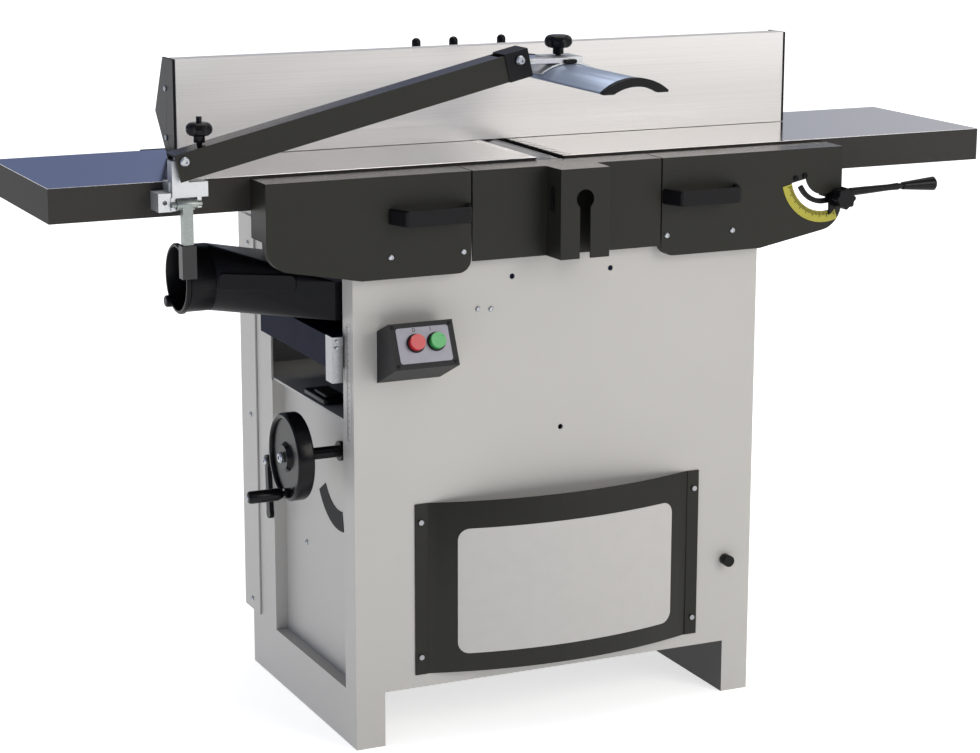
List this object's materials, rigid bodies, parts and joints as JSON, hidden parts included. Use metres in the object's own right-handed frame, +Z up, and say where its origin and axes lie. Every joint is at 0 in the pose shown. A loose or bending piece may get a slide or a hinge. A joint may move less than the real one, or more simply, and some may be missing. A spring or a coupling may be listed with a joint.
{
  "type": "combination planer thicknesser",
  "caption": "Floor-standing planer thicknesser: hinged tables over a spinning cutter, a rising bed driven by a handwheel, a tilting fence and a bridge guard on a steel cabinet.",
  "frame": {"origin": "on the floor, under the middle of the machine's overall box", "axes": "+X along the tables towards the infeed end, +Y away from the operator, +Z up"},
  "size_m": [1.53, 0.76, 1.0495],
  "materials": {
    "grey_paint": "satin",
    "charcoal_paint": "satin",
    "black_plastic": "matte",
    "switch_plastic": "matte",
    "red_plastic": "gloss",
    "green_plastic": "gloss",
    "cast_iron": "machined",
    "dark_iron": "painted",
    "bright_steel": "brushed",
    "aluminium": "brushed",
    "rubber": "matte"
  },
  "bodies": {
    "frame": {"front_wall": "grey_paint", "rear_wall": "grey_paint", "left_side_panel": "grey_paint", "right_side_panel": "grey_paint", "deck_plate": "grey_paint", "drive_cover": "grey_paint", "access_cover": "charcoal_paint", "switch_box": "switch_plastic", "front_housing": "dark_iron", "rear_housing": "dark_iron", "bearings": "bright_steel", "motor": "dark_iron", "drive_belt": "rubber", "column_sleeve": "dark_iron", "shaft_flange": "black_plastic", "dust_hood": "black_plastic", "centre_cover": "charcoal_paint", "frame_fasteners": "dark_iron"},
    "stop_button": {"stop_button": "red_plastic"},
    "start_button": {"start_button": "green_plastic"},
    "panel_knob": {"panel_knob": "black_plastic"},
    "cutter": {"cutter_block": "bright_steel", "cutter_knives": "bright_steel", "cutter_pulley": "dark_iron"},
    "motor_rotor": {"motor_pulley": "dark_iron"},
    "infeed_roller": {"infeed_roller": "bright_steel"},
    "outfeed_roller": {"outfeed_roller": "dark_iron"},
    "kickback_fingers": {"kickback_fingers": "dark_iron"},
    "bed": {"thicknesser_bed": "dark_iron", "bed_pointer": "bright_steel", "lift_column": "bright_steel"},
    "lead_screw": {"lead_screw": "bright_steel"},
    "handwheel": {"handwheel_shaft": "bright_steel", "handwheel": "black_plastic"},
    "crank_handle": {"crank_handle": "black_plastic"},
    "feed_lever": {"feed_lever": "black_plastic"},
    "left_table": {"left_table": "cast_iron", "left_cover": "charcoal_paint", "left_handle": "black_plastic", "fence_rail": "dark_iron", "guard_bracket": "aluminium"},
    "guard_clamp_lever": {"guard_clamp_lever": "black_plastic"},
    "guard_arm": {"guard_arm": "charcoal_paint"},
    "guard_height_knob": {"guard_height_knob": "black_plastic"},
    "guard_head": {"guard_head": "aluminium"},
    "guard_lock_knob": {"guard_lock_knob": "black_plastic"},
    "guard_beam": {"guard_beam": "aluminium", "beam_end_caps": "black_plastic"},
    "right_carrier": {"right_carrier": "dark_iron", "right_cover": "charcoal_paint", "right_handle": "black_plastic"},
    "right_table": {"right_table": "cast_iron"},
    "height_lever": {"height_lever": "black_plastic"},
    "fence_carriage": {"fence_carriage": "dark_iron"},
    "fence": {"fence_plate": "aluminium", "fence_end_caps": "black_plastic", "fence_bracket": "dark_iron"},
    "left_tilt_lever": {"left_tilt_lever": "black_plastic"},
    "length_lever": {"length_lever": "black_plastic"},
    "right_tilt_lever": {"right_tilt_lever": "black_plastic"}
  },
  "joints": [
    {"name": "cutter_spin", "type": "hinge", "parent": "frame", "child": "cutter", "pos_m": [0, 0.019, 0.826], "axis": [0, 1, 0], "continuous": true},
    {"name": "motor_spin", "type": "hinge", "parent": "frame", "child": "motor_rotor", "pos_m": [0.18, 0.1, 0.33], "axis": [0, 1, 0], "continuous": true},
    {"name": "outfeed_roll", "type": "hinge", "parent": "frame", "child": "outfeed_roller", "pos_m": [-0.075, 0.019, 0.798], "axis": [0, 1, 0], "continuous": true},
    {"name": "infeed_roll", "type": "hinge", "parent": "frame", "child": "infeed_roller", "pos_m": [0.075, 0.019, 0.798], "axis": [0, 1, 0], "continuous": true},
    {"name": "kickback_swing", "type": "hinge", "parent": "frame", "child": "kickback_fingers", "pos_m": [0.13, 0.019, 0.801], "axis": [0, 1, 0], "range_deg": [-30, 30]},
    {"name": "stop_press", "type": "slide", "parent": "frame", "child": "stop_button", "axis": [0, 0.9063, -0.4226], "range_m": [0, 0.003], "stiffness_N_per_m": 300, "springref_m": -0.002},
    {"name": "start_press", "type": "slide", "parent": "frame", "child": "start_button", "axis": [0, 0.9063, -0.4226], "range_m": [0, 0.003], "stiffness_N_per_m": 300, "springref_m": -0.002},
    {"name": "panel_knob_turn", "type": "hinge", "parent": "frame", "child": "panel_knob", "pos_m": [0.29, -0.175, 0.22], "axis": [0, 1, 0], "range_deg": [0, 90]},
    {"name": "handwheel_turn", "type": "hinge", "parent": "frame", "child": "handwheel", "pos_m": [-0.395, -0.076, 0.438], "axis": [1, 0, 0], "range_deg": [0, 5480]},
    {"name": "bed_lift", "type": "slide", "parent": "frame", "child": "bed", "axis": [0, 0, 1], "range_m": [-0.062, 0]},
    {"name": "screw_turn", "type": "hinge", "parent": "frame", "child": "lead_screw", "pos_m": [0, -0.076, 0.48], "axis": [0, 0, 1], "range_deg": [-5480, 5480]},
    {"name": "crank_spin", "type": "hinge", "parent": "handwheel", "child": "crank_handle", "pos_m": [-0.438, -0.076, 0.382], "axis": [1, 0, 0], "continuous": true},
    {"name": "feed_lever_swing", "type": "hinge", "parent": "frame", "child": "feed_lever", "pos_m": [-0.339, 0.183, 0.362], "axis": [1, 0, 0], "range_deg": [-40, 15]},
    {"name": "left_table_tilt", "type": "hinge", "parent": "frame", "child": "left_table", "pos_m": [-0.283, 0.235, 0.8], "axis": [-1, 0, 0], "range_deg": [0, 85]},
    {"name": "right_table_tilt", "type": "hinge", "parent": "frame", "child": "right_carrier", "pos_m": [0.283, 0.235, 0.8], "axis": [-1, 0, 0], "range_deg": [0, 85]},
    {"name": "right_table_height", "type": "slide", "parent": "right_carrier", "child": "right_table", "axis": [0, 0, 1], "range_m": [-0.004, 0]},
    {"name": "height_lever_swing", "type": "hinge", "parent": "right_carrier", "child": "height_lever", "pos_m": [0.44, -0.195, 0.826], "axis": [0, 1, 0], "range_deg": [0, 70]},
    {"name": "fence_slide", "type": "slide", "parent": "left_table", "child": "fence_carriage", "axis": [0, 1, 0], "range_m": [0, 0.09]},
    {"name": "fence_tilt", "type": "hinge", "parent": "fence_carriage", "child": "fence", "pos_m": [-0.065, 0.106, 0.884], "axis": [-1, 0, 0], "range_deg": [0, 45]},
    {"name": "left_clamp_swing", "type": "hinge", "parent": "fence", "child": "left_tilt_lever", "pos_m": [-0.104, 0.126, 0.956], "axis": [-1, 0, 0], "range_deg": [0, 50]},
    {"name": "length_clamp_swing", "type": "hinge", "parent": "fence", "child": "length_lever", "pos_m": [-0.041, 0.126, 0.956], "axis": [-1, 0, 0], "range_deg": [0, 50]},
    {"name": "right_clamp_swing", "type": "hinge", "parent": "fence", "child": "right_tilt_lever", "pos_m": [0.04, 0.126, 0.956], "axis": [-1, 0, 0], "range_deg": [0, 50]},
    {"name": "guard_clamp_swing", "type": "hinge", "parent": "left_table", "child": "guard_clamp_lever", "pos_m": [-0.579, -0.17, 0.842], "axis": [-1, 0, 0], "range_deg": [0, 90]},
    {"name": "guard_arm_swing", "type": "hinge", "parent": "left_table", "child": "guard_arm", "pos_m": [-0.583, -0.16, 0.9026], "axis": [0, 1, 0], "range_deg": [-5, 9]},
    {"name": "guard_height_knob_turn", "type": "hinge", "parent": "guard_arm", "child": "guard_height_knob", "pos_m": [-0.555, -0.16, 0.944], "axis": [0, 0, 1], "continuous": true},
    {"name": "guard_head_level", "type": "hinge", "parent": "guard_arm", "child": "guard_head", "pos_m": [-0.07318, -0.16, 1.01927], "axis": [0, 1, 0], "range_deg": [-9, 5]},
    {"name": "guard_lock_knob_turn", "type": "hinge", "parent": "guard_head", "child": "guard_lock_knob", "pos_m": [0.012, -0.133, 1.04], "axis": [0, 0, 1], "continuous": true},
    {"name": "guard_beam_slide", "type": "slide", "parent": "guard_head", "child": "guard_beam", "axis": [0, 1, 0], "range_m": [-0.075, 0.07]}
  ],
  "couplings": [
    {"joint": "motor_spin", "follows": "cutter_spin", "ratio": 0.6222},
    {"joint": "infeed_roll", "follows": "outfeed_roll", "ratio": 1},
    {"joint": "handwheel_turn", "follows": "bed_lift", "rad_per_m": -1538.5},
    {"joint": "screw_turn", "follows": "bed_lift", "rad_per_m": 1538.5},
    {"joint": "right_table_tilt", "follows": "left_table_tilt", "ratio": 1},
    {"joint": "height_lever_swing", "follows": "right_table_height", "rad_per_m": -300}
  ]
}
